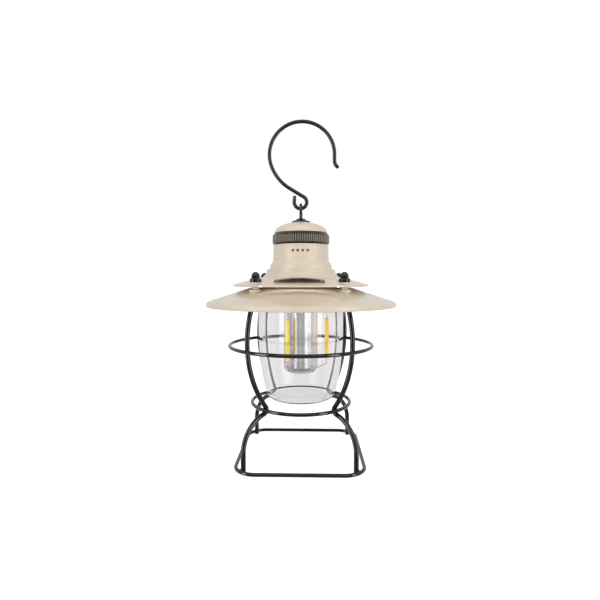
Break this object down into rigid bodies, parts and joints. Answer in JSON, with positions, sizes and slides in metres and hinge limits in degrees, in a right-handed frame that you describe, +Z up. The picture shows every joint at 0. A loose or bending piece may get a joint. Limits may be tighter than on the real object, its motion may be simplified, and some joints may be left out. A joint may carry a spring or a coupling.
{
  "type": "camping lantern",
  "caption": "Hanging camping lantern: wire guard and base, two round brims, ring dimmer, glass globe with light filaments around a battery column, swinging hook.",
  "frame": {"origin": "on the ground, on the lantern's axis", "axes": "+Z up along the lantern's axis to the hook; -Y is the front, with the nameplate and indicator dots; the charging port is at +Y"},
  "size_m": [0.16, 0.16, 0.2841],
  "materials": {
    "black_wire": "satin black powder coat",
    "cream_paint": "semi-gloss cream paint",
    "nameplate_bronze": "dark bronze, blank",
    "bright_steel": "bright",
    "black_plastic": "fine spark texture",
    "dimmer_plastic": "gloss bevels, ribbed grip",
    "clear_glass": "clear, thick wall",
    "rubber": "matt",
    "column_metal": "fine satin, drawn",
    "cell_wrap": "shrink wrap",
    "brass": "bright",
    "white_plastic": "white",
    "filament_phosphor": "silicone with yellow phosphor",
    "board_green": "solder mask",
    "indicator_lens": "tinted brown"
  },
  "bodies": {
    "root": {"leg_front_left": "black_wire", "leg_front_right": "black_wire", "leg_rear_left": "black_wire", "leg_rear_right": "black_wire", "base_ring": "black_wire", "narrow_ring": "black_wire", "wide_ring": "black_wire", "shade_washers": "black_wire", "lower_shade": "cream_paint", "spacers": "cream_paint", "nut_collars": "black_wire", "cap_nuts": "black_wire", "housing": "cream_paint", "nameplate": "nameplate_bronze", "nameplate_rivets": "bright_steel", "chassis": "black_plastic", "chassis_screws": "bright_steel", "globe": "clear_glass", "globe_gasket": "rubber", "globe_retainer": "black_plastic", "retainer_screws": "bright_steel", "column_tube": "column_metal", "column_screws": "bright_steel", "battery_cell": "cell_wrap", "contact_spring": "bright_steel", "positive_contact": "brass", "led_board": "white_plastic", "reflector_plate": "white_plastic", "reflector_screws": "bright_steel", "filaments": "filament_phosphor", "filament_leads": "bright_steel", "driver_board": "board_green", "board_parts": "black_plastic", "board_screws": "bright_steel", "indicator_light_pipes": "indicator_lens", "usb_socket": "bright_steel", "port_hinge_pin": "bright_steel", "dimmer_sensor": "black_plastic", "dome_cap": "cream_paint", "eye_flange": "black_wire"},
    "dimmer": {"dimmer_ring": "dimmer_plastic", "dimmer_wiper": "brass"},
    "eye": {"eye_bolt": "black_wire", "eye_nut": "bright_steel"},
    "hook": {"hook": "black_wire"},
    "port_cover": {"port_cover": "rubber"}
  },
  "joints": [
    {"name": "dimmer_turn", "type": "hinge", "parent": "root", "child": "dimmer", "pos_m": [0, 0, 0.184], "axis": [0, 0, -1], "range_deg": [0, 270]},
    {"name": "eye_swivel", "type": "hinge", "parent": "root", "child": "eye", "pos_m": [0, 0, 0.2], "axis": [0, 0, 1], "continuous": true},
    {"name": "hook_swing", "type": "hinge", "parent": "eye", "child": "hook", "pos_m": [0, 0, 0.2098], "axis": [1, 0, 0], "range_deg": [-110, 110]},
    {"name": "port_cover_hinge", "type": "hinge", "parent": "root", "child": "port_cover", "pos_m": [0, 0.0252, 0.1656], "axis": [-1, 0, 0], "range_deg": [0, 110]}
  ]
}
